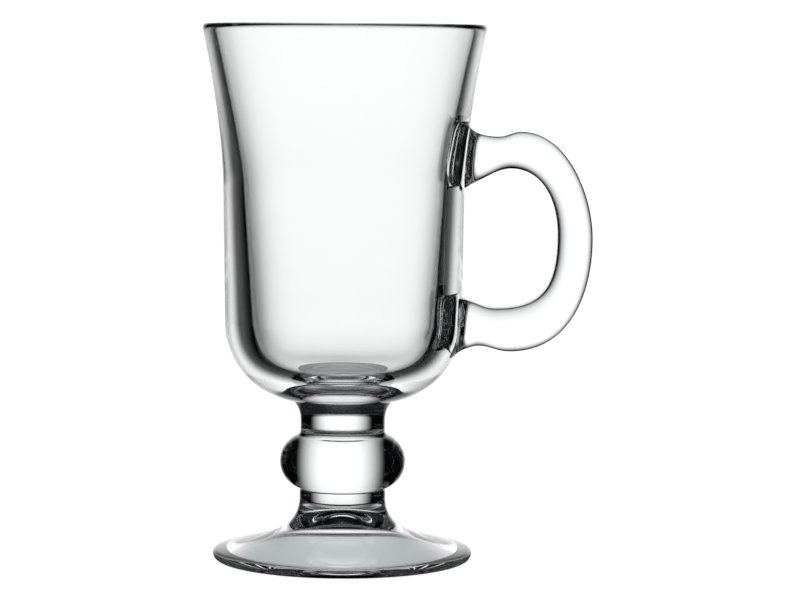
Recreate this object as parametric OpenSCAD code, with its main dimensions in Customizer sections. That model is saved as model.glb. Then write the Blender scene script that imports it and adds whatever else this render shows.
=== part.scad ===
// Irish coffee glass mug: a flared bowl on a short stem with a ball knop, a hollow foot and an ear handle.
// Sizes are in millimetres. Z points up, the origin is on the bowl's axis at the resting plane, and the
// handle points to +X. The four gathers of glass meet face to face at their welds.

/* [Foot] */
// Widest diameter of the foot
foot_diameter = 70.6; // [64:0.2:78]
// Height of the foot, from the resting plane to its weld with the stem
foot_height = 17; // [15:0.5:21]
// Radius of the foot's edge where it turns under
foot_edge_under = 1; // [0.5:0.1:1.2]
// Radius of the foot's edge where it meets the sloping top
foot_edge_over = 1.3; // [0.8:0.1:2.2]
// Height at which the foot is widest
foot_edge_height = 1.27; // [1.2:0.01:2]
// Slope of the foot's top at its edge, in degrees
foot_slope = 14.9; // [10:0.1:20]
// Length over which the foot's top leaves that slope
foot_sweep = 14.2; // [10:0.2:17]
// Length over which the foot's top turns upright at the weld
foot_rise = 9.5; // [6:0.5:12]
// Depth of the bell-shaped hollow under the foot
hollow_depth = 13.4; // [8:0.2:14]
// Diameter inside the ring that the mug stands on
hollow_diameter = 62; // [56:0.2:65]
// Radius of the ring's inner edge
hollow_edge = 1; // [0.5:0.1:1.5]
// Slope of the hollow at the ring, in degrees
hollow_slope = 14; // [10:0.5:15]
// Length over which the hollow leaves that slope
hollow_sweep = 18; // [14:0.5:22]
// Length over which the hollow is level at its top
hollow_crown = 8; // [5:0.2:9]

/* [Stem] */
// Height of the stem, from weld to weld
stem_height = 26.6; // [25:0.2:30]
// Diameter of the stem at its weld with the foot
low_neck_diameter = 23.5; // [20:0.1:25]
// Diameter of the stem above the knop
neck_diameter = 23.1; // [20:0.1:25]
// Height above the foot at which that neck starts to widen
neck_top_height = 21.1; // [20:0.1:22]
// Diameter of the knop
knop_diameter = 34.3; // [31:0.1:37]
// Height of the knop's middle above the foot
knop_height = 9.8; // [9.4:0.1:10.6]
// Radius of the knop's round
knop_round = 7.7; // [7:0.05:8]
// Radius of the fillet above the knop
knop_fillet_over = 1.4; // [0.8:0.1:2.2]
// Radius of the fillet below the knop
knop_fillet_under = 0.8; // [0.4:0.1:1.5]
// Diameter of the weld between the stem and the bowl
seat_diameter = 27.7; // [26:0.1:29]
// Lean of the stem where it spreads to the bowl, in degrees
seat_lean = 45; // [25:1:55]

/* [Bowl outside] */
// Height of the bowl, from its weld with the stem to the top of the lip
bowl_height = 102.4; // [94:0.2:112]
// Widest diameter, over the lip
rim_diameter = 77; // [72:0.2:84]
// Lean of the wall below the lip, in degrees
flare_angle = 11.7; // [8:0.1:14]
// Diameter at the waist, where the flare starts
waist_diameter = 65.7; // [62:0.1:70]
// Height of the waist above the stem
waist_height = 58; // [52:0.5:64]
// Length over which the wall bends at the waist
waist_bend = 13.4; // [10:0.2:18]
// Length over which the wall bends below the lip
rim_bend = 13.3; // [10:0.1:18]
// Diameter at the heel, where the round bottom starts
heel_diameter = 64.5; // [60:0.1:68]
// Radius of the round bottom
bottom_round = 21.6; // [19:0.2:25]

/* [Bowl inside] */
// Thickness of the lip
lip_thickness = 3.4; // [3:0.1:5]
// Radius of the lip's two edges
lip_round = 1.4; // [1:0.05:1.5]
// Thickness of the wall at the waist
waist_wall = 5.5; // [4:0.1:7]
// Lean of the inner wall below the waist, in degrees
inner_taper = 3.8; // [2:0.1:5]
// Lean of the inner wall below the lip, in degrees
inner_flare_angle = 15; // [10:0.5:18]
// Length over which the inner wall bends
inner_bend = 9.1; // [7:0.1:14]
// Thickness of the bottom on the axis
bottom_thickness = 7.7; // [5:0.1:9]
// Height above the stem at which the inside starts to round in
inner_heel_height = 21.7; // [18:0.1:26]
// Length over which the inner wall leaves its lean
inner_drop = 8; // [5:0.1:11]
// Diameter of the level floor inside
inner_floor_diameter = 21.2; // [14:0.2:26]
// Length over which the inside turns level at its floor
inner_sweep = 7.4; // [4:0.1:10]

/* [Handle] */
// Reach of the handle beyond the waist
handle_reach = 34.7; // [30:0.1:40]
// Thickness of the handle where it reaches furthest
handle_far_thickness = 9.5; // [8:0.1:12]
// Thickness of the handle below its thumb bump
handle_top_thickness = 9.95; // [8:0.1:12]
// Thickness of the handle at its lowest stretch
handle_low_thickness = 11.7; // [9:0.1:13]
// Width of the handle across its flat sides
handle_width = 10; // [8:0.1:13]
// Height of the thumb bump above the stem
handle_top_height = 73.5; // [70:0.1:77]
// Height of the handle's underside above the stem
handle_low_height = 13.8; // [11:0.1:16]
// Height at which the handle reaches furthest, above the stem
handle_far_height = 44.3; // [40:0.1:48]
// Depth of the dip between the thumb bump and the wall
upper_dip = 1.35; // [0.8:0.05:2]
// Depth of the dip between the handle's underside and the wall
lower_dip = 1.5; // [0.5:0.1:2.5]
// Depth over which the handle's outer edges round off
outer_edge_depth = 3.4; // [2:0.1:4]
// Width that the outer edges lose on each side
outer_edge_drop = 2.3; // [1:0.1:3]
// Depth over which the handle's inner edges round off
inner_edge_depth = 5.4; // [3:0.1:6]
// Width that the inner edges lose on each side
inner_edge_drop = 2.1; // [1:0.1:3]
// Height of the upper root's top above the stem
upper_root_top = 74.8; // [72:0.1:78]
// Height of the upper root's bottom above the stem
upper_root_bottom = 57.7; // [54:0.1:60]
// Height of the lower root's top above the stem
lower_root_top = 28.5; // [26:0.1:31]
// Height of the lower root's bottom above the stem
lower_root_bottom = 12.2; // [9:0.1:13.5]
// Spread of the upper root to each side
upper_root_spread = 1.5; // [0.5:0.1:3]
// Spread of the lower root to each side
lower_root_spread = 3; // [0.5:0.1:4]

/* [Handle bends] */
// Distance of the upper dip beyond the waist
upper_dip_reach = 8.8; // [8:0.1:10]
// Distance of the thumb bump beyond the waist
thumb_reach = 15.2; // [14:0.1:17]
// Distance of the handle's lowest stretch beyond the waist
low_reach = 12.5; // [10:0.1:15]
// Distance of the lower dip beyond the waist
lower_dip_reach = 3.6; // [3:0.1:6]
// Distance of the finger gap's top beyond the waist
gap_top_reach = 12.4; // [10:0.1:15]
// Distance of the finger gap's bottom beyond the waist
gap_bottom_reach = 8.5; // [7:0.1:11]
// Height of the finger gap's widest place above the handle's own
gap_far_rise = 1; // [-2:0.1:3]
// Length over which the upper root leaves the wall, outside
upper_root_bend = 3.5; // [2:0.1:4.5]
// Length over which the outer edge bends at the upper dip
upper_dip_bend = 3.4; // [2:0.1:4.5]
// Length over which the outer edge rises to the thumb bump
thumb_rise_bend = 2.9; // [1.5:0.1:3.2]
// Length over which the outer edge bends past the thumb bump
thumb_bend = 13.2; // [10:0.1:15]
// Length over which the outer edge bends above its furthest place
far_bend_over = 13.2; // [10:0.1:16]
// Length over which the outer edge bends below its furthest place
far_bend_under = 15.9; // [12:0.1:20]
// Length over which the outer edge bends at its lowest stretch
low_bend = 15.5; // [12:0.1:18]
// Length over which the outer edge rises to the lower dip
lower_dip_bend = 4; // [2:0.1:5]
// Length over which the lower root leaves the wall, outside
lower_root_bend = 1.5; // [0.8:0.1:2.5]
// Length over which the upper root leaves the wall, inside
upper_gap_root_bend = 4; // [2:0.1:6]
// Length over which the inner edge bends towards the upper root
gap_top_bend_in = 4.3; // [2:0.1:6]
// Length over which the inner edge bends at the gap's top
gap_top_bend = 8.4; // [6:0.1:11]
// Length over which the inner edge bends above its furthest place
gap_far_bend_over = 9.8; // [7:0.1:13]
// Length over which the inner edge bends below its furthest place
gap_far_bend_under = 14.2; // [10:0.1:16]
// Length over which the inner edge bends at the gap's bottom
gap_bottom_bend = 12.6; // [9:0.1:14]
// Length over which the inner edge bends towards the lower root
gap_bottom_bend_in = 3.6; // [2:0.1:5]
// Length over which the lower root leaves the wall, inside
lower_gap_root_bend = 3; // [1.5:0.1:4]
// Rise of the inner edge as it leaves the upper root, in degrees
upper_gap_root_rise = 30; // [15:1:45]
// Fall of the inner edge as it leaves the lower root, in degrees
lower_gap_root_fall = 20; // [5:1:35]

/* [Hidden] */

// Steps along each curve of a turned outline
curve_steps = 10;
// Steps round a small edge of a turned outline
edge_steps = 4;
// Rings of points along each quarter of the handle
handle_steps = 12;
// Steps round each edge of the handle
handle_edge_steps = 5;
// Steps along each flat side of the handle
handle_flat_steps = 2;
// Least length of a flat side
least_flat = 0.4;
// Steps across the handle
handle_side_steps = 6;
// Gap that keeps the flat facets of the handle's roots out of the round wall
root_clearance = 0.012;

glass = [0.86, 0.93, 0.92, 0.45];

foot_radius = foot_diameter / 2;
seat_radius = seat_diameter / 2;
low_neck_radius = low_neck_diameter / 2;
neck_radius = neck_diameter / 2;
waist_radius = waist_diameter / 2;
rim_radius = rim_diameter / 2;
heel_radius = heel_diameter / 2;

// Heights of the welds, the waist and the lip
seat_z = foot_height + stem_height;
waist_z = seat_z + waist_height;
lip_z = seat_z + bowl_height;
floor_z = seat_z + bottom_thickness;

// Points of a cubic curve from a to d that heads for b and arrives from c
function curve(a, b, c, d, steps = curve_steps) = [
    for (i = [0 : steps])
        let (t = i / steps, u = 1 - t)
            u * u * u * a + 3 * u * u * t * b + 3 * u * t * t * c + t * t * t * d
];

// Points of an arc about a centre, between two angles in degrees
function arc(centre, radius, from, to, steps = curve_steps) = [
    for (i = [0 : steps])
        let (angle = from + (to - from) * i / steps)
            centre + radius * [cos(angle), sin(angle)]
];

// Direction that leans outwards from upright by an angle
function lean(angle) = [sin(angle), cos(angle)];

// Angle at which a line up to a point leaves a circle
function leave_angle(centre, radius, point) =
    atan2(point.y - centre.y, point.x - centre.x) - acos(radius / norm(point - centre));

// A list without its first point
function rest(points) = [for (i = [1 : len(points) - 1]) points[i]];

// A list from its end to its start
function backwards(points) = [for (i = [len(points) - 1 : -1 : 0]) points[i]];

// Outside of the bowl: round bottom, straight wall, flare and lip
bottom_x = heel_radius - bottom_round;
bottom_centre = [bottom_x, seat_z + sqrt(pow(bottom_round, 2) - pow(seat_radius - bottom_x, 2))];
seat_angle = asin((seat_radius - bottom_x) / bottom_round) - 90;
waist = [waist_radius, waist_z];
heel_angle = leave_angle(bottom_centre, bottom_round, waist);
lip_centre = [rim_radius - lip_round, lip_z - lip_round];
lip_foot = lip_centre + lip_round * [cos(flare_angle), -sin(flare_angle)];
bowl_outside = concat(
    arc(bottom_centre, bottom_round, seat_angle, heel_angle),
    curve(waist, waist + waist_bend * lean(-heel_angle), lip_foot - rim_bend * lean(flare_angle), lip_foot)
);

// Inside of the bowl, from its floor to its lip
inner_floor = [inner_floor_diameter / 2, floor_z];
inner_waist = [waist_radius - waist_wall, waist_z];
inner_heel = inner_waist - (waist_height - inner_heel_height) * lean(inner_taper) / cos(inner_taper);
inner_lip_centre = [rim_radius - lip_thickness + lip_round, lip_z - lip_round];
inner_lip_angle = 180 - inner_flare_angle;
inner_lip_foot = inner_lip_centre + lip_round * [cos(inner_lip_angle), sin(inner_lip_angle)];
bowl_inside = concat(
    [[0, floor_z]],
    curve(
        inner_floor,
        inner_floor + [inner_sweep, 0],
        inner_heel - inner_drop * lean(inner_taper),
        inner_heel
    ),
    curve(
        inner_waist,
        inner_waist + inner_bend * lean(inner_taper),
        inner_lip_foot - inner_bend * lean(inner_flare_angle),
        inner_lip_foot
    )
);

module bowl() {
    lip = concat(
        arc(lip_centre, lip_round, -flare_angle, 90, edge_steps * 2),
        arc(inner_lip_centre, lip_round, 90, inner_lip_angle, edge_steps)
    );
    color(glass)
        rotate_extrude($fn = 96)
            polygon(concat([[0, seat_z]], bowl_outside, rest(lip), rest(backwards(bowl_inside))));
}

// Middle of the fillet between the knop and a neck, on the knop's upper side (+1) or lower side (-1)
function fillet_centre(knop, neck, fillet, side) =
    let (out = neck + fillet - knop.x)
        [neck + fillet, knop.y + side * sqrt(pow(knop_round + fillet, 2) - out * out)];

module stem() {
    knop = [knop_diameter / 2 - knop_round, foot_height + knop_height];
    under = fillet_centre(knop, low_neck_radius, knop_fillet_under, -1);
    over = fillet_centre(knop, neck_radius, knop_fillet_over, 1);
    under_angle = atan2(under.y - knop.y, under.x - knop.x);
    over_angle = atan2(over.y - knop.y, over.x - knop.x);
    neck_top = [neck_radius, foot_height + neck_top_height];
    seat = [seat_radius, seat_z];
    spread = (seat_z - neck_top.y) / 2;
    outline = concat(
        [[0, foot_height], [low_neck_radius, foot_height]],
        arc(under, knop_fillet_under, 180, 180 + under_angle, edge_steps),
        rest(arc(knop, knop_round, under_angle, over_angle, curve_steps * 2)),
        rest(arc(over, knop_fillet_over, 180 + over_angle, 180, edge_steps)),
        curve(neck_top, neck_top + [0, spread], seat - spread / 2 * lean(seat_lean), seat),
        [[0, seat_z]]
    );
    color(glass)
        rotate_extrude($fn = 96)
            polygon(outline);
}

module foot() {
    under_centre = [foot_radius - foot_edge_under, foot_edge_under];
    over_centre = [foot_radius - foot_edge_over, foot_edge_height];
    ring_centre = [hollow_diameter / 2, hollow_edge];
    edge = arc(over_centre, foot_edge_over, 0, 90 - foot_slope, edge_steps);
    edge_top = edge[edge_steps];
    weld = [low_neck_radius, foot_height];
    ring = arc(ring_centre, hollow_edge, -90 - hollow_slope, -90, edge_steps);
    crown = [0, hollow_depth];
    hollow = curve(
        crown,
        crown + [hollow_crown, 0],
        ring[0] + hollow_sweep * [-cos(hollow_slope), sin(hollow_slope)],
        ring[0],
        curve_steps * 2
    );
    top = curve(
        edge_top,
        edge_top + foot_sweep * [-cos(foot_slope), sin(foot_slope)],
        weld - [0, foot_rise],
        weld,
        curve_steps * 2
    );
    outline = concat(
        hollow,
        rest(ring),
        arc(under_centre, foot_edge_under, -90, 0, edge_steps),
        edge,
        rest(top),
        [[0, foot_height]]
    );
    color(glass)
        rotate_extrude($fn = 96)
            polygon(outline);
}

// Radius of the bowl's outside at a height
bowl_radius_table = [for (p = bowl_outside) [p.y, p.x]];
function bowl_radius(z) = lookup(z, bowl_radius_table);

// Point of the bowl's outside at a height above the stem, in the handle's plane
function wall_point(height) = [bowl_radius(seat_z + height), seat_z + height];

// Point in the handle's plane, from its distance beyond the waist and its height above the stem
function handle_point(out, height) = [waist_radius + out, seat_z + height];

// Outer edge of the handle, from the upper root over the thumb bump and round to the lower root
upper_root_outer = wall_point(upper_root_top);
upper_neck = handle_point(upper_dip_reach, handle_top_height - upper_dip);
thumb = handle_point(thumb_reach, handle_top_height);
far_outer = handle_point(handle_reach, handle_far_height);
low_outer = handle_point(low_reach, handle_low_height);
lower_neck = handle_point(lower_dip_reach, handle_low_height + lower_dip);
lower_root_outer = wall_point(lower_root_bottom);

// Inner edge of the handle, from root to root
upper_root_inner = wall_point(upper_root_bottom);
top_inner = handle_point(gap_top_reach, handle_top_height - handle_top_thickness);
far_inner = handle_point(handle_reach - handle_far_thickness, handle_far_height + gap_far_rise);
low_inner = handle_point(gap_bottom_reach, handle_low_height + handle_low_thickness);
lower_root_inner = wall_point(lower_root_top);

// Steps of a bend: level, upright, or along a slope in degrees
function level(length) = [length, 0];
function upright(length) = [0, length];
function sloped(length, angle) = length * [cos(angle), sin(angle)];

// Slope at which the outer edge leaves both roots, in degrees
root_slope = 45;
half_steps = handle_steps / 2;
outer_edge = concat(
    curve(
        upper_root_outer,
        upper_root_outer + sloped(upper_root_bend, -root_slope),
        upper_neck - level(upper_dip_bend),
        upper_neck,
        half_steps
    ),
    rest(curve(
        upper_neck,
        upper_neck + level(thumb_rise_bend),
        thumb - level(thumb_rise_bend),
        thumb,
        half_steps
    )),
    rest(curve(
        thumb,
        thumb + level(thumb_bend),
        far_outer + upright(far_bend_over),
        far_outer,
        handle_steps
    )),
    rest(curve(
        far_outer,
        far_outer - upright(far_bend_under),
        low_outer + level(low_bend),
        low_outer,
        handle_steps
    )),
    rest(curve(
        low_outer,
        low_outer - level(lower_dip_bend),
        lower_neck + level(lower_dip_bend),
        lower_neck,
        half_steps
    )),
    rest(curve(
        lower_neck,
        lower_neck - level(lower_root_bend),
        lower_root_outer + sloped(lower_root_bend, root_slope),
        lower_root_outer,
        half_steps
    ))
);
inner_edge = concat(
    curve(
        upper_root_inner,
        upper_root_inner + sloped(upper_gap_root_bend, upper_gap_root_rise),
        top_inner - level(gap_top_bend_in),
        top_inner,
        handle_steps
    ),
    rest(curve(
        top_inner,
        top_inner + level(gap_top_bend),
        far_inner + upright(gap_far_bend_over),
        far_inner,
        handle_steps
    )),
    rest(curve(
        far_inner,
        far_inner - upright(gap_far_bend_under),
        low_inner + level(gap_bottom_bend),
        low_inner,
        handle_steps
    )),
    rest(curve(
        low_inner,
        low_inner - level(gap_bottom_bend_in),
        lower_root_inner + sloped(lower_gap_root_bend, -lower_gap_root_fall),
        lower_root_inner,
        handle_steps
    ))
);

// Half section of the handle as rows of [distance from the outer edge, half width], outer edge first
function half_section(depth, half_width) =
    let (inner_depth = min(inner_edge_depth, depth - outer_edge_depth - least_flat))
    let (flat = depth - outer_edge_depth - inner_depth)
    concat(
        [for (i = [0 : handle_edge_steps])
            let (a = 90 * i / handle_edge_steps)
                [outer_edge_depth * (1 - cos(a)), half_width - outer_edge_drop * (1 - sin(a))]],
        [for (i = [1 : handle_flat_steps - 1])
            [outer_edge_depth + flat * i / handle_flat_steps, half_width]],
        [for (i = [0 : handle_edge_steps])
            let (a = 90 * i / handle_edge_steps)
                [depth - inner_depth * (1 - sin(a)), half_width - inner_edge_drop * (1 - cos(a))]]
    );

// Point of a section between its outer and inner edge points. Seat is 1 on the wall and 0 clear of it.
function section_point(outer, inner, along, y, seat) =
    let (p = outer + (inner - outer) * along / norm(inner - outer))
    let (on_wall = sqrt(pow(bowl_radius(p.y), 2) - y * y) + root_clearance)
    let (chord = outer.x + (inner.x - outer.x) * (p.y - outer.y) / (inner.y - outer.y))
        [seat > 0 ? p.x + (on_wall - chord) * seat : p.x, y, p.y];

// One ring of the handle: down one side, across the inner face, up the other side, across the outer face
function ring(outer, inner, half_width, seat) =
    let (rows = half_section(norm(inner - outer), half_width))
    let (last = rows[len(rows) - 1])
    concat(
        [for (row = rows) section_point(outer, inner, row.x, row.y, seat)],
        [for (k = [1 : handle_side_steps - 1])
            section_point(outer, inner, last.x, last.y * (1 - 2 * k / handle_side_steps), seat)],
        [for (row = backwards(rows)) section_point(outer, inner, row.x, -row.y, seat)],
        [for (k = [1 : handle_side_steps - 1])
            section_point(outer, inner, rows[0].x, rows[0].y * (2 * k / handle_side_steps - 1), seat)]
    );

ring_count = len(outer_edge);
row_count = 2 * handle_edge_steps + handle_flat_steps + 1;
ring_size = 2 * row_count + 2 * (handle_side_steps - 1);

// How near a ring is to its root: 1 on the wall, falling to 0 at a quarter of the handle
function root_share(steps_away) = pow(max(0, 1 - steps_away / handle_steps), 3);

// How far a ring is shaped by the wall: 1 on the wall, 0 a few rings away
function wall_share(steps_away) = pow(max(0, 1 - 2 * steps_away / handle_steps), 2);

handle_rings = [
    for (i = [0 : ring_count - 1])
        let (last = ring_count - 1)
        let (spread = upper_root_spread * root_share(i) + lower_root_spread * root_share(last - i))
            ring(
                outer_edge[i],
                inner_edge[i],
                handle_width / 2 + spread,
                max(wall_share(i), wall_share(last - i))
            )
];

// Inner points of a root's face on the wall, row by row
function root_points(outer, inner, half_width) =
    let (rows = half_section(norm(inner - outer), half_width))
    [
        for (i = [1 : row_count - 2])
            for (k = [1 : handle_side_steps - 1])
                section_point(outer, inner, rows[i].x, rows[i].y * (1 - 2 * k / handle_side_steps), 1)
    ];

// Number of a point on a root's face, by its row and column
function root_index(ring_start, face_start, row, column) =
    column == 0 ? ring_start + row :
    column == handle_side_steps ? ring_start + row_count + handle_side_steps - 1 + row_count - 1 - row :
    row == 0 ? ring_start + ring_size - column :
    row == row_count - 1 ? ring_start + row_count - 1 + column :
    face_start + (row - 1) * (handle_side_steps - 1) + column - 1;

// Two triangles of a four-cornered patch
function patch(a, b, c, d) = [[a, b, c], [a, c, d]];

// Triangles of a root's face
function root_faces(ring_start, face_start, flip) = [
    for (row = [0 : row_count - 2])
        for (column = [0 : handle_side_steps - 1])
            let (a = root_index(ring_start, face_start, row, column))
            let (b = root_index(ring_start, face_start, row, column + 1))
            let (c = root_index(ring_start, face_start, row + 1, column + 1))
            let (d = root_index(ring_start, face_start, row + 1, column))
                each flip ? patch(d, c, b, a) : patch(a, b, c, d)
];

module handle() {
    last = ring_count - 1;
    ring_points = [for (one = handle_rings) each one];
    upper_face = root_points(outer_edge[0], inner_edge[0], handle_width / 2 + upper_root_spread);
    lower_face = root_points(outer_edge[last], inner_edge[last], handle_width / 2 + lower_root_spread);
    upper_start = len(ring_points);
    lower_start = upper_start + len(upper_face);
    sides = [
        for (i = [0 : last - 1])
            for (j = [0 : ring_size - 1])
                let (next = (j + 1) % ring_size)
                    each patch(
                        i * ring_size + j,
                        i * ring_size + next,
                        (i + 1) * ring_size + next,
                        (i + 1) * ring_size + j
                    )
    ];
    color(glass)
        polyhedron(
            concat(ring_points, upper_face, lower_face),
            concat(
                sides,
                root_faces(0, upper_start, false),
                root_faces(last * ring_size, lower_start, true)
            )
        );
}

bowl();
handle();
stem();
foot();
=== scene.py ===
"""Irish coffee glass mug: a flared bowl, an ear handle, a knopped stem and a hollow foot, in a light studio.

Lengths are in metres in Blender and written in millimetres here. Z points up, the origin is on the bowl's
axis at the resting plane, the handle points to +X, and the photograph looks along +Y.
"""
import math
from bisect import bisect_right

import bpy
from bpy.props import FloatProperty, FloatVectorProperty, PointerProperty
from mathutils import Matrix, Vector


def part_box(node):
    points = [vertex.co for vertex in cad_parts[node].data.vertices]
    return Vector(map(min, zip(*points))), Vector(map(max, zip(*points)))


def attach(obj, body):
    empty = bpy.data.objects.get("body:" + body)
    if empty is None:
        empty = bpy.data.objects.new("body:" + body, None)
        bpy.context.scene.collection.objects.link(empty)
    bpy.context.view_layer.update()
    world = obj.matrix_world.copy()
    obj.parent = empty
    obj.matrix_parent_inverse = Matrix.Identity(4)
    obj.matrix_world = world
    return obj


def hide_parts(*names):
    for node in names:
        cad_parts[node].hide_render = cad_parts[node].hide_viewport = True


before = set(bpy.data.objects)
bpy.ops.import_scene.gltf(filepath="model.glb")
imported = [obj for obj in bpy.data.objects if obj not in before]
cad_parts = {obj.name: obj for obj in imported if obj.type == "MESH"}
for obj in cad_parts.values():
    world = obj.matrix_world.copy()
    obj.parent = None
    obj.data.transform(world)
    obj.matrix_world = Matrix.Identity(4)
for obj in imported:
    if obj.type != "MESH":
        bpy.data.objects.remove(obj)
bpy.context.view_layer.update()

bl_info = {
    "name": "Irish Coffee Glass Mug",
    "version": (1, 0, 0),
    "blender": (4, 5, 0),
    "location": "3D View > Sidebar > Glass Mug",
    "description": "Builds a pressed clear-glass mug on a knopped stem, and the studio that it stands in",
    "category": "Add Mesh",
}

MM = 0.001

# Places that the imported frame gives: the welds, the lip, and the widest places
WELD_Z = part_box("foot")[1].z
SEAT_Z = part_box("stem")[1].z
LIP_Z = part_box("bowl")[1].z
RIM_RADIUS = -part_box("bowl")[0].x
FOOT_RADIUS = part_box("foot")[1].y
KNOP_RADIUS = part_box("stem")[1].y
HANDLE_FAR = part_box("handle")[1].x

# Steps round the axis, along the curves of an outline, and along and round the handle
BOWL_TURNS = 288
STEM_TURNS = 224
FOOT_TURNS = 288
LONG_STEPS = 44
SHORT_STEPS = 10
HANDLE_STEPS = 44
HANDLE_EDGE_STEPS = 12
HANDLE_SIDE_STEPS = 10

# Power by which the handle's roots spread as they near the wall
ROOT_FLARE = 12
# Share of a root's length that is plain, before its sections take on the wall's round
ROOT_PLAIN = 0.5
# Share of a root's depth past which a face belongs to the weld
ROOT_WELD = 0.25

# Points nearer than this are one point
SAME_PLACE = 0.0005 * MM
# A face within this of a weld's height, and at least this level, belongs to the weld
WELD_NEAR = 0.005 * MM
WELD_LEVEL = 0.999
# Edges that turn by less than this are shaded smooth
SMOOTH_TURN = math.radians(30)

# How often light may pass or leave a surface on its way through the glass
GLASS_BOUNCES = 48
GLOSSY_BOUNCES = 24


def length(name, words, millimetres):
    """A length that a user can change, shown in the scene's unit."""
    return FloatProperty(name=name, description=words, default=millimetres * MM, unit="LENGTH", precision=5)


def angle(name, words, degrees):
    """An angle that a user can change."""
    return FloatProperty(name=name, description=words, default=math.radians(degrees), subtype="ANGLE")


def number(name, words, value):
    """A plain number that a user can change."""
    return FloatProperty(name=name, description=words, default=value, min=0.0)


def linear(hex_colour):
    """Linear red, green, blue and alpha of an sRGB hex colour, by the curve of the sRGB standard."""
    parts = [int(hex_colour[i : i + 2], 16) / 255 for i in (1, 3, 5)]
    return [c / 12.92 if c <= 0.04045 else ((c + 0.055) / 1.055) ** 2.4 for c in parts] + [1.0]


def colour(name, words, hex_colour):
    """A colour that a user can change."""
    return FloatVectorProperty(
        name=name, description=words, default=linear(hex_colour), subtype="COLOR", size=4, min=0.0, max=1.0
    )


class BowlSizes(bpy.types.PropertyGroup):
    """Sizes of the bowl."""

    flare_angle: angle("Flare", "Lean of the outer wall below the lip", 11.7)
    waist_radius: length("Waist radius", "Radius outside, where the flare starts", 32.85)
    waist_height: length("Waist height", "Height of the waist above the stem", 58.0)
    waist_bend: length("Waist bend", "Length over which the outer wall bends at the waist", 13.4)
    rim_bend: length("Rim bend", "Length over which the outer wall bends below the lip", 13.3)
    heel_radius: length("Heel radius", "Radius outside, where the round bottom starts", 32.25)
    bottom_round: length("Bottom round", "Radius of the round bottom", 21.6)
    lip_thickness: length("Lip thickness", "Thickness of the lip", 3.0)
    lip_round: length("Lip round", "Radius of the lip's two edges", 1.15)
    waist_wall: length("Waist wall", "Thickness of the wall at the waist", 5.5)
    inner_flare: angle("Inner flare", "Lean of the inner wall below the lip", 15.0)
    inner_bend: length("Inner bend", "Length over which the inner wall bends", 9.1)
    inner_taper: angle("Inner taper", "Lean of the inner wall below the waist", 3.8)
    inner_heel_height: length("Inner heel", "Height above the stem where the inside rounds in", 21.7)
    inner_drop: length("Inner drop", "Length over which the inner wall leaves its taper", 8.0)
    inner_floor: length("Inner floor", "Radius of the level floor inside", 10.6)
    inner_sweep: length("Inner sweep", "Length over which the inside turns level at its floor", 9.6)
    bottom_thickness: length("Bottom thickness", "Thickness of the bottom on the axis", 7.7)
    seat_radius: length("Seat radius", "Radius of the weld between the bowl and the stem", 13.85)


class HandleSizes(bpy.types.PropertyGroup):
    """Sizes of the handle. Heights are measured from the bowl's seat on the stem."""

    far_thickness: length("Far thickness", "Thickness where the handle reaches furthest", 9.5)
    top_thickness: length("Top thickness", "Thickness below the thumb bump", 9.95)
    low_thickness: length("Low thickness", "Thickness at the lowest stretch", 11.7)
    width: length("Width", "Width across the flat sides", 10.0)
    top_height: length("Top height", "Height of the thumb bump", 73.5)
    low_height: length("Low height", "Height of the underside", 13.8)
    far_height: length("Far height", "Height at which the handle reaches furthest", 44.3)
    gap_rise: length("Gap rise", "Height of the finger gap's widest place above the handle's own", 1.0)
    upper_dip: length("Upper dip", "Depth of the dip between the thumb bump and the wall", 1.35)
    lower_dip: length("Lower dip", "Depth of the dip between the underside and the wall", 1.5)
    outer_edge: length("Outer edges", "Depth over which the outer edges round off", 3.4)
    outer_drop: length("Outer drop", "Width that the outer edges lose on each side", 2.3)
    inner_edge: length("Inner edges", "Depth over which the inner edges round off", 5.4)
    inner_drop: length("Inner drop", "Width that the inner edges lose on each side", 2.1)
    upper_root_top: length("Upper root top", "Height of the upper root's top", 75.6)
    upper_root_bottom: length("Upper root bottom", "Height of the upper root's bottom", 57.7)
    lower_root_top: length("Lower root top", "Height of the lower root's top", 28.5)
    lower_root_bottom: length("Lower root bottom", "Height of the lower root's bottom", 12.2)
    upper_spread: length("Upper spread", "Spread of the upper root to each side", 6.5)
    lower_spread: length("Lower spread", "Spread of the lower root to each side", 5.5)
    root_depth: length("Root depth", "Depth to which the roots are fused into the wall", 0.8)


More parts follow.
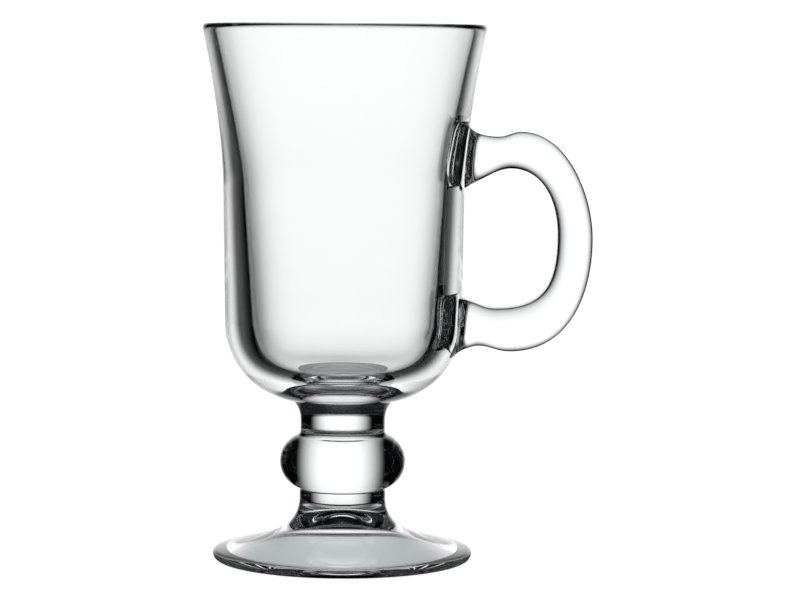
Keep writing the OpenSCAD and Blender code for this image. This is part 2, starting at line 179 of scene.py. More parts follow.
class HandleBends(bpy.types.PropertyGroup):
    """Bends of the handle's two edges, seen from the side. Reaches are measured from the bowl's waist."""

    upper_dip_reach: length("Upper dip reach", "Reach of the dip between the thumb bump and the wall", 8.8)
    thumb_reach: length("Thumb reach", "Reach of the thumb bump", 15.2)
    low_reach: length("Low reach", "Reach of the lowest stretch", 12.5)
    lower_dip_reach: length("Lower dip reach", "Reach of the dip between the underside and the wall", 3.6)
    gap_top_reach: length("Gap top reach", "Reach of the finger gap's top", 12.4)
    gap_bottom_reach: length("Gap bottom reach", "Reach of the finger gap's bottom", 8.5)
    upper_root_bend: length("Upper root bend", "Length over which the outer edge leaves the wall", 3.5)
    upper_root_fall: angle("Upper root fall", "Fall of the outer edge as it leaves the wall", 45.0)
    upper_dip_bend: length("Upper dip bend", "Length over which the outer edge bends at the upper dip", 3.4)
    thumb_rise_bend: length("Thumb rise bend", "Length over which the edge rises to the thumb bump", 2.9)
    thumb_bend: length("Thumb bend", "Length over which the outer edge bends past the thumb bump", 12.3)
    far_bend_over: length("Far bend over", "Length over which the outer edge bends above its far end", 12.3)
    far_bend_under: length("Far bend under", "Length over which the outer edge bends below its far end", 15.9)
    low_bend: length("Low bend", "Length over which the outer edge bends at its lowest stretch", 15.5)
    lower_dip_bend: length("Lower dip bend", "Length over which the outer edge rises to the lower dip", 4.0)
    lower_root_bend: length("Lower root bend", "Length over which the outer edge meets the wall", 1.5)
    lower_root_fall: angle("Lower root fall", "Fall of the outer edge as it meets the wall", 45.0)
    gap_root_bend_over: length("Gap root bend over", "Length over which the gap leaves the upper root", 4.0)
    gap_root_rise: angle("Gap root rise", "Rise of the gap's edge as it leaves the upper root", 30.0)
    gap_top_bend_in: length("Gap top bend in", "Length over which the gap bends to the upper root", 4.3)
    gap_top_bend: length("Gap top bend", "Length over which the gap's edge bends at its top", 8.4)
    gap_far_bend_over: length("Gap far bend over", "Length of the gap's bend above its far end", 9.8)
    gap_far_bend_under: length("Gap far bend under", "Length of the gap's bend below its far end", 14.2)
    gap_bottom_bend: length("Gap bottom bend", "Length over which the gap's edge bends at its bottom", 12.6)
    gap_bottom_bend_in: length("Gap bottom bend in", "Length over which the gap bends to the lower root", 3.6)
    gap_root_bend_under: length("Gap root bend under", "Length over which the gap leaves the lower root", 3.0)
    gap_root_fall: angle("Gap root fall", "Fall of the gap's edge as it leaves the lower root", 20.0)


class StemSizes(bpy.types.PropertyGroup):
    """Sizes of the stem. Heights are measured from the foot's weld."""

    low_neck_radius: length("Low neck radius", "Radius at the weld with the foot", 11.75)
    neck_radius: length("Neck radius", "Radius above the knop", 11.55)
    neck_top_height: length("Neck top", "Height at which the neck starts to widen", 21.1)
    knop_height: length("Knop height", "Height of the knop's middle", 9.8)
    knop_round: length("Knop round", "Radius of the knop's round", 7.7)
    fillet_over: length("Upper fillet", "Radius of the fillet above the knop", 1.4)
    fillet_under: length("Lower fillet", "Radius of the fillet below the knop", 0.8)
    seat_lean: angle("Seat lean", "Lean of the stem where it spreads to the bowl", 45.0)


class FootSizes(bpy.types.PropertyGroup):
    """Sizes of the foot."""

    edge_under: length("Edge under", "Radius of the edge where it turns under", 1.5)
    edge_over: length("Edge over", "Radius of the edge where it meets the sloping top", 1.25)
    edge_height: length("Edge height", "Height at which the foot is widest", 1.55)
    slope: angle("Slope", "Slope of the top at its edge", 14.9)
    sweep: length("Sweep", "Length over which the top leaves that slope", 14.2)
    rise: length("Rise", "Length over which the top turns upright at the weld", 9.5)
    hollow_depth: length("Hollow depth", "Depth of the bell-shaped hollow underneath", 13.4)
    hollow_radius: length("Hollow radius", "Radius inside the ring that the mug stands on", 31.0)
    hollow_edge: length("Hollow edge", "Radius of the ring's inner edge", 1.0)
    hollow_slope: angle("Hollow slope", "Slope of the hollow at the ring", 14.0)
    hollow_sweep: length("Hollow sweep", "Length over which the hollow leaves that slope", 18.0)
    hollow_crown: length("Hollow crown", "Length over which the hollow is level at its top", 8.0)


class GlassLook(bpy.types.PropertyGroup):
    """Look of the glass."""

    tint: colour("Tint", "Tint that light takes on at each pass through the surface", "#FDFEFE")
    ior: number("Index of refraction", "How strongly the glass bends light", 1.52)
    wave_size: length("Wave size", "Spacing of the slow waves that pressing leaves in the surface", 18.0)
    wave_depth: length("Wave depth", "Depth of those waves", 0.012)


class StudioSet(bpy.types.PropertyGroup):
    """Camera, light and floor of the studio."""

    lens: FloatProperty(
        name="Lens",
        description="Focal length on a sensor 36 mm wide",
        default=147.6,
        unit="CAMERA",
        precision=1,
    )
    distance: length("Distance", "Distance of the camera in front of the mug's axis", 890.0)
    camera_height: length("Camera height", "Height of the camera above the floor", 149.0)
    aim_height: length("Aim height", "Height on the mug that the camera aims at", 71.0)
    sideways: length("Sideways", "Distance of the camera to the right of the mug's axis", 15.4)
    roll: angle("Roll", "Roll of the camera", 0.4)
    wall_distance: length("Wall distance", "Distance from the camera to the light wall", 3000.0)
    wall_size: length("Wall size", "Side of the light wall", 14000.0)
    wall_strength: number("Wall strength", "Brightness of the middle of the light wall", 1.22)
    left_start: angle("Left start", "Angle to the mug's left at which the wall starts to fade", 6.0)
    left_end: angle("Left end", "Angle to the mug's left at which the wall ends", 33.5)
    right_start: angle("Right start", "Angle to the mug's right at which the wall starts to fade", 10.0)
    right_end: angle("Right end", "Angle to the mug's right at which the wall ends", 38.0)
    low_start: angle("Low start", "Angle below the camera's axis at which the wall starts to fade", -8.0)
    low_end: angle("Low end", "Angle below the camera's axis at which the wall ends", 48.0)
    high_start: angle("High start", "Angle above the camera's axis at which the wall starts to fade", 11.7)
    high_end: angle("High end", "Angle above the camera's axis at which the wall ends", 37.0)
    dark: number("Dark", "Brightness of the dim room that the glass sees beside the wall", 0.022)
    room_colour: colour("Room", "Cool colour of that room", "#C6D4DC")
    # The pad is painted light that only the glass sees: a glow that stands in for the lit floor under the
    # foot
    painted_pad_radius: length("Pad radius", "Radius of the pale pad that the glass sees under the foot", 50.0)
    painted_glow_slanted: number("Pad strength", "Brightness of that pad", 0.68)
    # Painted shade: the pad's glow fades to dark under the foot's ring
    painted_shade_start: length("Shade start", "Radius at which the shade under the foot's ring starts", 28.0)
    painted_shade_end: length("Shade end", "Radius at which that shade is full", 34.0)
    # Painted reflection: the pad's glow brightens as the view slants, as if the floor mirrored the wall
    painted_glow_above: number("Pad base", "Brightness of that pad seen from straight above", 0.12)
    painted_sheen_turn: number("Pad turn", "Slant of the view, from 0 to 1, at which the pad starts to shine", 0.2)
    painted_sheen_full: number("Pad full", "Slant of the view, from 0 to 1, at which the pad shines in full", 0.6)
    painted_pad_colour: colour("Pad colour", "Cool colour of that pad", "#F4FAFC")
    floor_colour: colour("Floor", "Colour of the floor", "#F4F4F2")
    floor_glow: number("Floor glow", "Brightness that the camera sees on the floor besides the lamp's", 0.9)
    floor_size: length("Floor size", "Side of the floor", 12000.0)
    lamp_height: length("Lamp height", "Height of the soft overhead lamp", 1200.0)
    lamp_size: length("Lamp size", "Diameter of that lamp", 800.0)
    lamp_power: FloatProperty(name="Lamp power", description="Power of that lamp", default=3.0, unit="POWER")


def flat(r, z):
    """A point of an outline: its distance from the axis and its height."""
    return Vector((r, z))


def lean(angle_from_upright):
    """Direction in an outline that leans outwards from upright."""
    return flat(math.sin(angle_from_upright), math.cos(angle_from_upright))


def sloped(distance, slope):
    """Step in an outline along a slope, from level."""
    return distance * flat(math.cos(slope), math.sin(slope))


def curve(a, b, c, d, steps=LONG_STEPS):
    """Points of a cubic curve from a to d that heads for b and arrives from c."""
    points = []
    for i in range(steps + 1):
        t = i / steps
        u = 1 - t
        points.append(u**3 * a + 3 * u * u * t * b + 3 * u * t * t * c + t**3 * d)
    return points


def arc(centre, radius, start, end, steps=SHORT_STEPS):
    """Points of an arc between two angles in radians."""
    turns = [start + (end - start) * i / steps for i in range(steps + 1)]
    return [centre + radius * flat(math.cos(turn), math.sin(turn)) for turn in turns]


def straight(a, b, steps=SHORT_STEPS):
    """Points of a straight stretch."""
    return [a.lerp(b, i / steps) for i in range(steps + 1)]


def through(knots):
    """Points of a smooth edge through its knots. Each knot is its place, the bend that arrives there, the
    bend that leaves it, and the number of steps to the next knot."""
    points = [knots[0][0]]
    for (a, _, leave, steps), (b, arrive, _, _) in zip(knots, knots[1:]):
        points += curve(a, a + leave, b - arrive, b, steps)[1:]
    return points


def joined(*stretches):
    """One outline from several stretches, without the points that repeat."""
    points = []
    for point in (p for stretch in stretches for p in stretch):
        if not points or (point - points[-1]).length > SAME_PLACE:
            points.append(point)
    return points


def leave_angle(centre, radius, point):
    """Angle at which a straight line up to a point leaves a circle."""
    reach = point - centre
    return math.atan2(reach.y, reach.x) - math.acos(radius / reach.length)


def bowl_outside(size):
    """Outer outline of the bowl, from the edge of its seat to the foot of its lip."""
    middle = size.heel_radius - size.bottom_round
    drop = math.sqrt(size.bottom_round**2 - (size.seat_radius - middle) ** 2)
    centre = flat(middle, SEAT_Z + drop)
    seat_angle = math.asin((size.seat_radius - middle) / size.bottom_round) - math.pi / 2
    waist = flat(size.waist_radius, SEAT_Z + size.waist_height)
    heel_angle = leave_angle(centre, size.bottom_round, waist)
    bottom = arc(centre, size.bottom_round, seat_angle, heel_angle, LONG_STEPS)
    lip_foot = lip_centre(size) + sloped(size.lip_round, -size.flare_angle)
    flare = curve(
        waist,
        waist + size.waist_bend * lean(-heel_angle),
        lip_foot - size.rim_bend * lean(size.flare_angle),
        lip_foot,
    )
    return joined(bottom, straight(bottom[-1], waist, LONG_STEPS), flare)


def lip_centre(size):
    """Middle of the round on the lip's outer edge."""
    return flat(RIM_RADIUS - size.lip_round, LIP_Z - size.lip_round)


def bowl_inside(size):
    """Inner outline of the bowl, from the top of its lip down to the middle of its floor."""
    centre = flat(RIM_RADIUS - size.lip_thickness + size.lip_round, LIP_Z - size.lip_round)
    top = arc(centre, size.lip_round, math.pi / 2, math.pi - size.inner_flare)
    waist = flat(size.waist_radius - size.waist_wall, SEAT_Z + size.waist_height)
    taper = lean(size.inner_taper)
    heel = waist - taper * ((size.waist_height - size.inner_heel_height) / taper.y)
    floor = flat(size.inner_floor, SEAT_Z + size.bottom_thickness)
    flare = curve(
        top[-1],
        top[-1] - size.inner_bend * lean(size.inner_flare),
        waist + size.inner_bend * taper,
        waist,
    )
    bottom = curve(heel, heel - size.inner_drop * taper, floor + flat(size.inner_sweep, 0), floor)
    level = straight(floor, flat(0, floor.y))
    return joined(top, flare, straight(waist, heel, LONG_STEPS // 2), bottom, level)


def bowl_outline(size):
    """Whole outline of the bowl, from the axis at its seat to the axis at its floor."""
    lip = arc(lip_centre(size), size.lip_round, -size.flare_angle, math.pi / 2, 2 * SHORT_STEPS)
    return joined([flat(0, SEAT_Z)], bowl_outside(size), lip, bowl_inside(size))


def stem_outline(size, seat_radius):
    """Outline of the stem, from the axis at the foot to the axis at the bowl."""
    knop = flat(KNOP_RADIUS - size.knop_round, WELD_Z + size.knop_height)

    def fillet(neck, radius, side):
        """Middle of a fillet above or below the knop, and its angle seen from the knop's middle."""
        out = neck + radius - knop.x
        rise = math.sqrt((size.knop_round + radius) ** 2 - out**2)
        centre = flat(neck + radius, knop.y + side * rise)
        return centre, math.atan2(centre.y - knop.y, centre.x - knop.x)

    under, under_angle = fillet(size.low_neck_radius, size.fillet_under, -1)
    over, over_angle = fillet(size.neck_radius, size.fillet_over, 1)
    low = flat(size.low_neck_radius, WELD_Z)
    neck_top = flat(size.neck_radius, WELD_Z + size.neck_top_height)
    seat = flat(seat_radius, SEAT_Z)
    spread = (seat.y - neck_top.y) / 2
    lower_fillet = arc(under, size.fillet_under, math.pi, math.pi + under_angle)
    upper_fillet = arc(over, size.fillet_over, math.pi + over_angle, math.pi)
    return joined(
        [flat(0, WELD_Z)],
        straight(low, lower_fillet[0]),
        lower_fillet,
        arc(knop, size.knop_round, under_angle, over_angle, LONG_STEPS),
        upper_fillet,
        straight(upper_fillet[-1], neck_top),
        curve(
            neck_top,
            neck_top + flat(0, spread),
            seat - spread / 2 * lean(size.seat_lean),
            seat,
            LONG_STEPS // 2,
        ),
        [flat(0, SEAT_Z)],
    )


def foot_outline(size, weld_radius):
    """Outline of the foot, from the top of its hollow, round its edge and up to its weld."""
    down = -math.pi / 2
    ring = arc(flat(size.hollow_radius, size.hollow_edge), size.hollow_edge, down - size.hollow_slope, down)
    crown = flat(0, size.hollow_depth)
    rim_under = arc(flat(FOOT_RADIUS - size.edge_under, size.edge_under), size.edge_under, down, 0)
    turn_over = math.pi / 2 - size.slope
    rim_over = arc(flat(FOOT_RADIUS - size.edge_over, size.edge_height), size.edge_over, 0, turn_over)
    inwards = flat(-math.cos(size.hollow_slope), math.sin(size.hollow_slope))
    upwards = flat(-math.cos(size.slope), math.sin(size.slope))
    weld = flat(weld_radius, WELD_Z)
    return joined(
        curve(
            crown,
            crown + flat(size.hollow_crown, 0),
            ring[0] + size.hollow_sweep * inwards,
            ring[0],
            2 * LONG_STEPS,
        ),
        ring,
        rim_under,
        rim_over,
        curve(
            rim_over[-1],
            rim_over[-1] + size.sweep * upwards,
            weld - flat(0, size.rise),
            weld,
            2 * LONG_STEPS,
        ),
        [flat(0, WELD_Z)],
    )


def radius_at(outline, z):
    """Radius of an upward outline at a height."""
    heights = [p.y for p in outline]
    after = min(max(bisect_right(heights, z), 1), len(outline) - 1)
    a, b = outline[after - 1], outline[after]
    return a.x + (b.x - a.x) * (z - a.y) / (b.y - a.y)


def handle_edges(size, bend, bowl):
    """Outer and inner edge of the handle in its own plane, from the upper root to the lower root."""
    wall = bowl_outside(bowl)

    def on_wall(height):
        return flat(radius_at(wall, SEAT_Z + height), SEAT_Z + height)

    def beyond(reach, height):
        return flat(bowl.waist_radius + reach, SEAT_Z + height)

    def level(distance):
        return flat(distance, 0)

    def upright(distance):
        return flat(0, distance)

    none = flat(0, 0)
    half = HANDLE_STEPS // 2
    thumb = beyond(bend.thumb_reach, size.top_height)
    far = flat(HANDLE_FAR, SEAT_Z + size.far_height)
    low = beyond(bend.low_reach, size.low_height)
    upper_dip = beyond(bend.upper_dip_reach, size.top_height - size.upper_dip)
    lower_dip = beyond(bend.lower_dip_reach, size.low_height + size.lower_dip)
    gap_top = beyond(bend.gap_top_reach, size.top_height - size.top_thickness)
    gap_far = flat(HANDLE_FAR - size.far_thickness, SEAT_Z + size.far_height + size.gap_rise)
    gap_bottom = beyond(bend.gap_bottom_reach, size.low_height + size.low_thickness)
    outer = through(
        [
            (on_wall(size.upper_root_top), none, sloped(bend.upper_root_bend, -bend.upper_root_fall), half),
            (upper_dip, level(bend.upper_dip_bend), level(bend.thumb_rise_bend), half),
            (thumb, level(bend.thumb_rise_bend), level(bend.thumb_bend), HANDLE_STEPS),
            (far, upright(-bend.far_bend_over), upright(-bend.far_bend_under), HANDLE_STEPS),
            (low, level(-bend.low_bend), level(-bend.lower_dip_bend), half),
            (lower_dip, level(-bend.lower_dip_bend), level(-bend.lower_root_bend), half),
            (on_wall(size.lower_root_bottom), sloped(-bend.lower_root_bend, bend.lower_root_fall), none, 0),
        ]
    )
    gap_root = sloped(bend.gap_root_bend_over, bend.gap_root_rise)
    inner = through(
        [
            (on_wall(size.upper_root_bottom), none, gap_root, HANDLE_STEPS),
            (gap_top, level(bend.gap_top_bend_in), level(bend.gap_top_bend), HANDLE_STEPS),
            (gap_far, upright(-bend.gap_far_bend_over), upright(-bend.gap_far_bend_under), HANDLE_STEPS),
            (gap_bottom, level(-bend.gap_bottom_bend), level(-bend.gap_bottom_bend_in), HANDLE_STEPS),
            (on_wall(size.lower_root_top), sloped(-bend.gap_root_bend_under, -bend.gap_root_fall), none, 0),
        ]
    )
    return outer, inner


def handle_section(size, depth, half_width):
    """Half section of the handle as (distance from the outer edge, half width), outer edge first."""
    turns = [math.pi / 2 * i / HANDLE_EDGE_STEPS for i in range(HANDLE_EDGE_STEPS + 1)]
    plain = depth - size.outer_edge - size.inner_edge
    outer = [
        (size.outer_edge * (1 - math.cos(turn)), half_width - size.outer_drop * (1 - math.sin(turn)))
        for turn in turns
    ]
    side = [
        (size.outer_edge + plain * i / HANDLE_SIDE_STEPS, half_width)
        for i in range(1, HANDLE_SIDE_STEPS)
    ]
    inner = [
        (depth - size.inner_edge * (1 - math.sin(turn)), half_width - size.inner_drop * (1 - math.cos(turn)))
        for turn in turns
    ]
    return outer + side + inner


def handle_rings(size, bend, bowl):
    """Rings of points along the handle, the first and last of them inside the bowl's wall."""
    outer, inner = handle_edges(size, bend, bowl)
    wall = bowl_outside(bowl)
    last = len(outer) - 1
    across = [1 - 2 * k / HANDLE_SIDE_STEPS for k in range(1, HANDLE_SIDE_STEPS)]
    rings = []
    for i, (a, b) in enumerate(zip(outer, inner)):
        # How near the section is to each root's end on the wall, from 0 to 1
        near_upper = max(0, 1 - i / HANDLE_STEPS)
        near_lower = max(0, 1 - (last - i) / HANDLE_STEPS)
        spread = size.upper_spread * near_upper**ROOT_FLARE + size.lower_spread * near_lower**ROOT_FLARE
        half_width = size.width / 2 + spread
        seated = max(0, (max(near_upper, near_lower) - ROOT_PLAIN) / (1 - ROOT_PLAIN)) ** 2
        rows = handle_section(size, (b - a).length, half_width)
        loop = rows + [(rows[-1][0], rows[-1][1] * k) for k in across]
        loop += [(along, -y) for along, y in reversed(rows)]
        loop += [(rows[0][0], -rows[0][1] * k) for k in across]
        ring = []
        for along, y in loop:
            p = a + (b - a).normalized() * along
            x = p.x
            # Near the wall, each section takes on the wall's round
            if seated > 0:
                chord = a.x + (b.x - a.x) * (p.y - a.y) / (b.y - a.y)
                x += seated * (math.sqrt(radius_at(wall, p.y) ** 2 - y * y) - chord)
            ring.append(Vector((x, y, p.y)))
        rings.append(ring)

    def sunk(ring):
        """A ring moved into the wall by the depth of the root."""
        points = []
        for p in ring:
            inwards = Vector((p.x, p.y, 0)).normalized()
            points.append(p - inwards * size.root_depth)
        return points

    return [sunk(rings[0])] + rings + [sunk(rings[-1])]


def add_node(tree, kind, values=None, links=None, **settings):
    """Adds a shader node with its settings, its sockets' values and its links from other sockets."""
    node = tree.nodes.new("ShaderNode" + kind)
    for name, value in settings.items():
        setattr(node, name, value)
    for socket, value in (values or {}).items():
        node.inputs[socket].default_value = value
    for socket, source in (links or {}).items():
        tree.links.new(source, node.inputs[socket])
    return node


def empty_material(name):
    """A new material without nodes, and its node tree."""
    material = bpy.data.materials.new(name)
    material.use_nodes = True
    material.node_tree.nodes.clear()
    return material, material.node_tree


def fire_polished_glass(look):
    """Soda-lime glass, pressed in a mould and fire polished: clear and glossy, with a faint cool tint and the
    slow waves of a pressed surface, which make the lines seen through it a little uneven."""
    name = "soda_lime_glass_fire_polished"
    if name in bpy.data.materials:
        return bpy.data.materials[name]
    material, tree = empty_material(name)
    place = add_node(tree, "TexCoord")
    waves = add_node(
        tree,
        "TexNoise",
        {"Scale": 1 / look.wave_size, "Detail": 1.0, "Roughness": 0.4},
        {"Vector": place.outputs["Object"]},
    )
    bump = add_node(
        tree,
        "Bump",
        {"Strength": 1.0, "Distance": look.wave_depth},
        {"Height": waves.outputs["Fac"]},
    )
    glass = add_node(
        tree,
        "BsdfPrincipled",
        {"Base Color": look.tint, "Roughness": 0.0, "IOR": look.ior, "Transmission Weight": 1.0},
        {"Normal": bump.outputs["Normal"]},
    )
    add_node(tree, "OutputMaterial", links={"Surface": glass.outputs["BSDF"]})
    return material


def fused_weld():
    """Glass fused to glass: no surface is left there, so light goes straight on."""
    name = "fused_glass_weld"
    if name in bpy.data.materials:
        return bpy.data.materials[name]
    material, tree = empty_material(name)
    clear = add_node(tree, "BsdfTransparent")
    add_node(tree, "OutputMaterial", links={"Surface": clear.outputs["BSDF"]})
    return material


def new_piece(name):
    """A new mesh object in edit mode with one point, at the origin."""
    bpy.ops.object.select_all(action="DESELECT")
    bpy.ops.mesh.primitive_plane_add(size=MM)
    piece = bpy.context.object
    piece.name = name
    piece.data.name = name
    bpy.ops.object.mode_set(mode="EDIT")
    bpy.ops.mesh.select_mode(type="VERT")
    bpy.ops.mesh.select_all(action="SELECT")
    bpy.ops.mesh.merge(type="CENTER")
    return piece


def close_up():
    """Merges the points that meet, turns the faces outwards and leaves edit mode."""
    bpy.ops.mesh.select_all(action="SELECT")
    bpy.ops.mesh.remove_doubles(threshold=SAME_PLACE)
    bpy.ops.mesh.normals_make_consistent(inside=False)
    bpy.ops.object.mode_set(mode="OBJECT")


def turned_piece(name, outline, turns):
    """A piece turned about the axis from its outline."""
    piece = new_piece(name)
    bpy.ops.transform.translate(value=(outline[0].x, 0, outline[0].y))
    for a, b in zip(outline, outline[1:]):
        step = (b.x - a.x, 0, b.y - a.y)
        bpy.ops.mesh.extrude_vertices_move(TRANSFORM_OT_translate={"value": step})
    bpy.ops.mesh.select_all(action="SELECT")
    bpy.ops.mesh.spin(steps=turns, angle=2 * math.pi, center=(0, 0, 0), axis=(0, 0, 1))
    close_up()
    return piece


def dress(piece, look):
    """Gives a piece its glass, and after that the see-through material of its welds."""
    piece.data.materials.append(fire_polished_glass(look))
    piece.data.materials.append(fused_weld())


def mark_welds(piece, *heights):
    """Makes the level faces at these heights welds."""
    for face in piece.data.polygons:
        level = abs(face.normal.z) > WELD_LEVEL
        near = any(abs(face.center.z - z) < WELD_NEAR for z in heights)
        face.material_index = int(level and near)


def finish_piece(piece, node):
    """Smooths a piece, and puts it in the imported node's place."""
    bpy.ops.object.select_all(action="DESELECT")
    piece.select_set(True)
    bpy.context.view_layer.objects.active = piece
    bpy.ops.object.shade_smooth_by_angle(angle=SMOOTH_TURN)
    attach(piece, "root")
    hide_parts(node)


class MUG_OT_handle(bpy.types.Operator):
    """Adds the ear handle, whose roots reach a little way into the bowl's wall."""

    bl_idname = "mug.handle"
    bl_label = "Handle"

    def execute(self, context):
        scene = context.scene
        rings = handle_rings(scene.mug_handle, scene.mug_bends, scene.mug_bowl)
        bpy.ops.object.select_all(action="DESELECT")

        # A grid with one row of points for each ring, laid round the handle and closed at its ends
        around, along = len(rings[0]), len(rings) - 1
        bpy.ops.mesh.primitive_grid_add(x_subdivisions=around, y_subdivisions=along, size=MM)
        piece = context.object
        piece.name = "glass_handle"
        piece.data.name = "glass_handle"
        places = [p for ring in rings for p in ring + ring[:1]]
        piece.data.vertices.foreach_set("co", [c for p in places for c in p])
        bpy.ops.object.mode_set(mode="EDIT")
        bpy.ops.mesh.select_mode(type="EDGE")
        bpy.ops.mesh.select_all(action="SELECT")
        bpy.ops.mesh.remove_doubles(threshold=SAME_PLACE)
        bpy.ops.mesh.select_all(action="DESELECT")
        bpy.ops.mesh.select_non_manifold()
        bpy.ops.mesh.fill()
        close_up()
        dress(piece, scene.mug_glass)

        # The faces inside the wall are the weld
        wall = bowl_outside(scene.mug_bowl)
        inside = scene.mug_handle.root_depth * ROOT_WELD
        for face in piece.data.polygons:
            reach = math.hypot(face.center.x, face.center.y)
            face.material_index = int(reach < radius_at(wall, face.center.z) - inside)
        finish_piece(piece, "handle")
        return {"FINISHED"}


class MUG_OT_bowl(bpy.types.Operator):
    """Adds the bowl, with a seat cut into its wall for each root of the handle."""

    bl_idname = "mug.bowl"
    bl_label = "Bowl"

    def execute(self, context):
        scene = context.scene
        piece = turned_piece("glass_bowl", bowl_outline(scene.mug_bowl), BOWL_TURNS)
        dress(piece, scene.mug_glass)
        mark_welds(piece, SEAT_Z)
        cut = piece.modifiers.new("handle_roots", "BOOLEAN")
        cut.operation = "DIFFERENCE"
        cut.object = bpy.data.objects["glass_handle"]
        cut.solver = "MANIFOLD"
        cut.material_mode = "INDEX"
        bpy.ops.object.modifier_apply(modifier=cut.name)
        finish_piece(piece, "bowl")
        return {"FINISHED"}


class MUG_OT_stem(bpy.types.Operator):
    """Adds the stem with its ball knop."""

    bl_idname = "mug.stem"
    bl_label = "Stem"

    def execute(self, context):
        scene = context.scene
        outline = stem_outline(scene.mug_stem, scene.mug_bowl.seat_radius)
        piece = turned_piece("glass_stem", outline, STEM_TURNS)
        dress(piece, scene.mug_glass)
        mark_welds(piece, WELD_Z, SEAT_Z)
        finish_piece(piece, "stem")
        return {"FINISHED"}


class MUG_OT_foot(bpy.types.Operator):
    """Adds the round foot with its hollow underside."""

    bl_idname = "mug.foot"
    bl_label = "Foot"

    def execute(self, context):
        scene = context.scene
        outline = foot_outline(scene.mug_foot, scene.mug_stem.low_neck_radius)
        piece = turned_piece("glass_foot", outline, FOOT_TURNS)
        dress(piece, scene.mug_glass)
        mark_welds(piece, WELD_Z)
        finish_piece(piece, "foot")
        return {"FINISHED"}


def add_camera(studio):
    """The camera, where the photograph was taken from."""
    eye = Vector((studio.sideways, -studio.distance, studio.camera_height))
    aim = Vector((studio.sideways, 0, studio.aim_height))
    turn = (aim - eye).to_track_quat("-Z", "Y").to_matrix() @ Matrix.Rotation(studio.roll, 3, "Z")
    bpy.ops.object.camera_add(location=eye, rotation=turn.to_euler())
    camera = bpy.context.object
    camera.name = "camera"
    camera.data.lens = studio.lens
    camera.data.sensor_width = 36.0
    camera.data.clip_start = 10 * MM
    camera.data.clip_end = 50000 * MM
    bpy.context.scene.camera = camera
    return camera


def light_wall_paint(studio, away):
    """White cloth lit from behind: brightest behind the mug, and fading softly to its sides, upwards and
    downwards. Angles are seen from the mug's axis, at this distance away from the cloth."""
    material, tree = empty_material("lit_white_cloth")
    place = add_node(tree, "TexCoord")
    parts = add_node(tree, "SeparateXYZ", links={"Vector": place.outputs["Object"]})
    left = add_node(tree, "Math", {1: -1.0}, {0: parts.outputs["X"]}, operation="MULTIPLY")
    below = add_node(tree, "Math", {1: -1.0}, {0: parts.outputs["Y"]}, operation="MULTIPLY")
    lit = None
    for source, start, end in (
        (left.outputs["Value"], studio.left_start, studio.left_end),
        (parts.outputs["X"], studio.right_start, studio.right_end),
        (below.outputs["Value"], studio.low_start, studio.low_end),
        (parts.outputs["Y"], studio.high_start, studio.high_end),
    ):
        fade = add_node(
            tree,
            "MapRange",
            {
                "From Min": away * math.tan(start),
                "From Max": away * math.tan(end),
                "To Min": 1.0,
                "To Max": 0.0,
            },
            {"Value": source},
            interpolation_type="SMOOTHSTEP",
        )
        # Each fade dims what the fades before it leave
        links = {0: fade.outputs["Result"]}
        if lit:
            links[1] = lit.outputs["Value"]
        lit = add_node(tree, "Math", {1: studio.wall_strength}, links, operation="MULTIPLY")
    shine = add_node(tree, "Emission", links={"Strength": lit.outputs["Value"]})
    add_node(tree, "OutputMaterial", links={"Surface": shine.outputs["Emission"]})
    return material


def floor_paint(studio):
    """Matt white card: white to the camera, with the mug's shadow on it. The glass sees it only as a pale pad
    under the foot: a painted glow, with painted shade under the foot's ring and a painted reflection that
    brightens at a slant. Past that, it sees the wall and the room."""
    material, tree = empty_material("matt_white_card")
    path = add_node(tree, "LightPath")
    place = add_node(tree, "TexCoord")
    reach = add_node(tree, "VectorMath", links={0: place.outputs["Object"]}, operation="LENGTH")
    pad = add_node(tree, "Math", {1: studio.painted_pad_radius}, {0: reach.outputs["Value"]}, operation="LESS_THAN")
    card = add_node(tree, "BsdfDiffuse", {"Color": studio.floor_colour})
    white = add_node(tree, "Emission", {"Strength": studio.floor_glow})
    seen = add_node(tree, "AddShader", links={0: card.outputs["BSDF"], 1: white.outputs["Emission"]})
    clear = add_node(tree, "BsdfTransparent")
    # Painted reflection: the pad's glow rises with the slant of the view
    slant = add_node(tree, "LayerWeight")
    shine = add_node(
        tree,
        "MapRange",
        {
            "From Min": studio.painted_sheen_turn,
            "From Max": studio.painted_sheen_full,
            "To Min": studio.painted_glow_above,
            "To Max": studio.painted_glow_slanted,
        },
        {"Value": slant.outputs["Facing"]},
        interpolation_type="SMOOTHSTEP",
    )
    # Painted shade: the glow darkens with radius under the foot's ring
    shade = add_node(
        tree,
        "MapRange",
        {"From Min": studio.painted_shade_start, "From Max": studio.painted_shade_end, "To Min": 1.0, "To Max": 0.0},
        {"Value": reach.outputs["Value"]},
        interpolation_type="SMOOTHSTEP",
    )
    shaded = add_node(
        tree, "Math", links={0: shine.outputs["Result"], 1: shade.outputs["Result"]}, operation="MULTIPLY"
    )
    # Painted glow that stands in for the lit floor under the foot, seen only by the glass
    pale = add_node(tree, "Emission", {"Color": studio.painted_pad_colour}, {"Strength": shaded.outputs["Value"]})
    under = add_node(
        tree,
        "MixShader",
        links={0: pad.outputs["Value"], 1: clear.outputs["BSDF"], 2: pale.outputs["Emission"]},
    )
    shown = add_node(
        tree,
        "MixShader",
        links={0: path.outputs["Is Camera Ray"], 1: under.outputs["Shader"], 2: seen.outputs["Shader"]},
    )
    add_node(tree, "OutputMaterial", links={"Surface": shown.outputs["Shader"]})
    return material


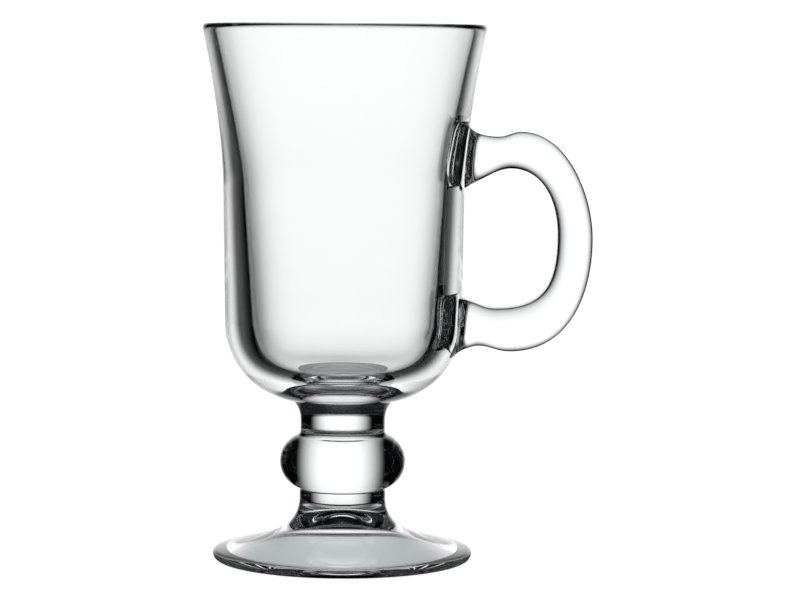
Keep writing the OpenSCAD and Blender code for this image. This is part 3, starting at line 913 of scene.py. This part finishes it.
def room_air(studio):
    """A room that is white to the camera, and dim and cool to the glass, which keeps its edges dark."""
    world = bpy.data.worlds.new("white_room")
    world.use_nodes = True
    tree = world.node_tree
    tree.nodes.clear()
    path = add_node(tree, "LightPath")
    white = add_node(tree, "Background", {"Color": (1, 1, 1, 1), "Strength": 1.0})
    dark = add_node(tree, "Background", {"Color": studio.room_colour, "Strength": studio.dark})
    shown = add_node(
        tree,
        "MixShader",
        links={
            0: path.outputs["Is Camera Ray"],
            1: dark.outputs["Background"],
            2: white.outputs["Background"],
        },
    )
    add_node(tree, "OutputWorld", links={"Surface": shown.outputs["Shader"]})
    bpy.context.scene.world = world


class MUG_OT_studio(bpy.types.Operator):
    """Adds the camera, the floor, the light wall behind the mug and the overhead lamp."""

    bl_idname = "mug.studio"
    bl_label = "Studio"

    def execute(self, context):
        scene = context.scene
        studio = scene.mug_studio
        bpy.ops.object.select_all(action="DESELECT")
        camera = add_camera(studio)

        bpy.ops.mesh.primitive_plane_add(size=studio.floor_size)
        floor = context.object
        floor.name = "floor"
        floor.data.materials.append(floor_paint(studio))

        away = studio.wall_distance - studio.distance
        bpy.ops.mesh.primitive_plane_add(size=studio.wall_size)
        wall = context.object
        wall.name = "light_wall"
        wall.data.materials.append(light_wall_paint(studio, away))

        # The wall hangs from the camera, so it stands behind the mug in every view
        wall.parent = camera
        behind_axis = -studio.sideways * studio.wall_distance / studio.distance
        wall.location = (behind_axis, 0, -studio.wall_distance)

        bpy.ops.object.light_add(type="AREA", location=(0, 0, studio.lamp_height))
        lamp = context.object
        lamp.name = "overhead_lamp"
        lamp.data.shape = "DISK"
        lamp.data.size = studio.lamp_size
        lamp.data.energy = studio.lamp_power
        lamp.visible_glossy = False
        lamp.visible_transmission = False

        room_air(studio)
        scene.view_settings.view_transform = "Standard"
        scene.cycles.max_bounces = GLASS_BOUNCES
        scene.cycles.transmission_bounces = GLASS_BOUNCES
        scene.cycles.glossy_bounces = GLOSSY_BOUNCES
        scene.cycles.transparent_max_bounces = GLASS_BOUNCES
        return {"FINISHED"}


class MUG_PT_panel(bpy.types.Panel):
    """The mug's pieces, in the order in which they are added."""

    bl_idname = "MUG_PT_panel"
    bl_label = "Irish Coffee Glass Mug"
    bl_space_type = "VIEW_3D"
    bl_region_type = "UI"
    bl_category = "Glass Mug"

    def draw(self, context):
        for operator in PIECES:
            self.layout.operator(operator.bl_idname)


GROUPS = {
    "mug_bowl": BowlSizes,
    "mug_handle": HandleSizes,
    "mug_bends": HandleBends,
    "mug_stem": StemSizes,
    "mug_foot": FootSizes,
    "mug_glass": GlassLook,
    "mug_studio": StudioSet,
}
PIECES = (MUG_OT_handle, MUG_OT_bowl, MUG_OT_stem, MUG_OT_foot, MUG_OT_studio)


def register():
    for group in GROUPS.values():
        bpy.utils.register_class(group)
    for name, group in GROUPS.items():
        setattr(bpy.types.Scene, name, PointerProperty(type=group))
    for operator in PIECES:
        bpy.utils.register_class(operator)
    bpy.utils.register_class(MUG_PT_panel)


def unregister():
    bpy.utils.unregister_class(MUG_PT_panel)
    for operator in reversed(PIECES):
        bpy.utils.unregister_class(operator)
    for name in GROUPS:
        delattr(bpy.types.Scene, name)
    for group in reversed(GROUPS.values()):
        bpy.utils.unregister_class(group)


def main():
    register()
    bpy.ops.mug.handle()
    bpy.ops.mug.bowl()
    bpy.ops.mug.stem()
    bpy.ops.mug.foot()
    bpy.ops.mug.studio()


if __name__ == "__main__":
    main()
